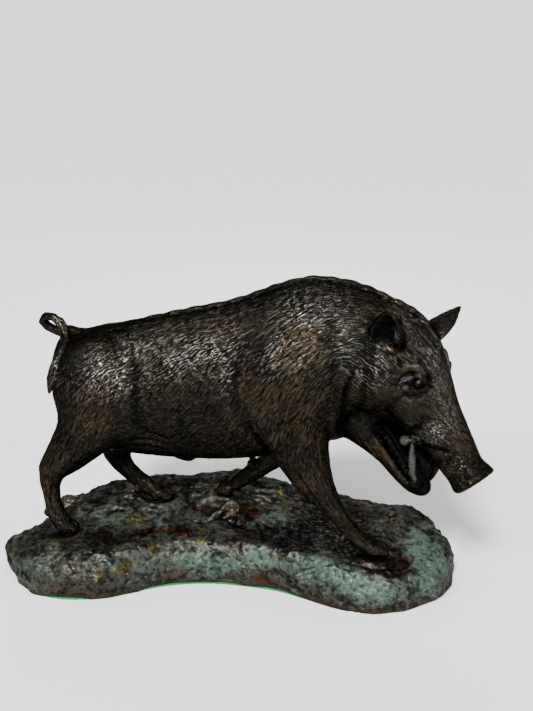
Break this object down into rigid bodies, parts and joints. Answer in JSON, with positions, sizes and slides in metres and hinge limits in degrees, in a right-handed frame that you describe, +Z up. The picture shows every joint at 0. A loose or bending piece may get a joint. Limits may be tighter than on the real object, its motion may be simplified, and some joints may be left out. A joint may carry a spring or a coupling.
{
  "type": "bronze wild boar sculpture on a ground base",
  "caption": "Cast bronze wild boar walking with its head lowered, mouth open and tusks showing, standing on a rough kidney-shaped ground base with felt below.",
  "frame": {"origin": "middle of the length on the felt pad's flat underside, in the plane of the boar's spine", "axes": "+X the way the boar walks, +Y towards its left flank, +Z up"},
  "size_m": [0.4674, 0.1977, 0.2989],
  "materials": {
    "dark_bronze": "cast bronze with a dark brown-black patina, waxed, rubbed brown on the ridges of the fur",
    "patinated_bronze": "rough cast bronze with verdigris, ochre and dark brown patina",
    "green_felt": "bright green felt"
  },
  "bodies": {
    "root": {"boar": "dark_bronze", "base": "patinated_bronze", "felt_pad": "green_felt"}
  },
  "joints": []
}
